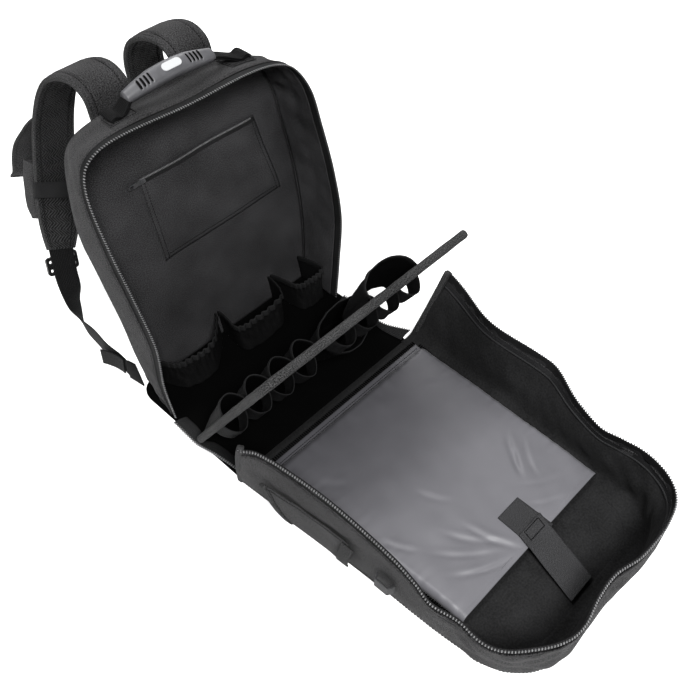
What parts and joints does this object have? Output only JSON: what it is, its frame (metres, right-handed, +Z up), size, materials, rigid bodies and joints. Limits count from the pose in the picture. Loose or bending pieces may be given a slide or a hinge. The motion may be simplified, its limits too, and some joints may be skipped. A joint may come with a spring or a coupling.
{
  "type": "tool backpack",
  "caption": "Tool backpack opened flat: leaning padded body with a carrying handle and shoulder straps, a folded-down front with a sleeve, and a divider board with pockets.",
  "frame": {"origin": "middle of the underside of the base panel, on the floor", "axes": "+Z up; the front folds down to the floor towards -Y; the wearer's back and the shoulder straps are towards +Y; +X is the bag's right as seen from its front"},
  "size_m": [0.4029, 0.9341, 0.4148],
  "materials": {
    "weave": "coarse woven polyester, matt",
    "lining": "brushed lining, matt",
    "binding": "woven binding tape",
    "zip": "coil zip on woven tape",
    "webbing": "woven webbing",
    "satin": "smooth grey polyester lining",
    "grip": "moulded soft plastic",
    "badge": "smooth plastic inlay",
    "buckle": "moulded plastic",
    "pull": "bright plated metal"
  },
  "bodies": {
    "root": {"main_wall": "weave", "main_zip": "zip", "back_panel": "lining", "patch_pocket": "lining", "patch_zip": "zip", "patch_zip_pull": "pull", "pocket_left": "lining", "pocket_centre": "lining", "pocket_right": "lining", "handle_grip": "grip", "handle_badge": "badge", "handle_anchor_left": "weave", "handle_webbing_left": "webbing", "handle_anchor_right": "weave", "handle_webbing_right": "webbing", "divider_binding": "binding", "divider_board": "lining", "divider_cells": "lining", "divider_flat_pocket": "lining", "divider_bellows_pocket": "lining", "divider_loops_lower": "lining", "divider_front_pocket": "lining", "divider_loops_upper": "lining", "base_panel": "weave", "base_band_left": "weave", "base_band_right": "weave", "flap_panel": "weave", "flap_wall": "weave", "flap_zip": "zip", "flap_binding_left": "binding", "flap_binding_right": "binding", "sleeve": "satin", "sleeve_tab": "webbing", "sleeve_strap": "webbing", "flap_side_pocket": "weave", "flap_side_loop": "webbing", "shoulder_strap_left": "weave", "shoulder_strap_right": "weave", "strap_webbing_left": "webbing", "strap_webbing_right": "webbing", "ladder_buckle_left": "buckle", "ladder_buckle_right": "buckle", "lower_tab_left": "webbing", "lower_tab_right": "webbing", "strap_tail_left": "webbing", "strap_tail_right": "webbing", "strap_keeper_left": "webbing", "pouch_body": "weave", "pouch_flap": "weave"}
  },
  "joints": []
}
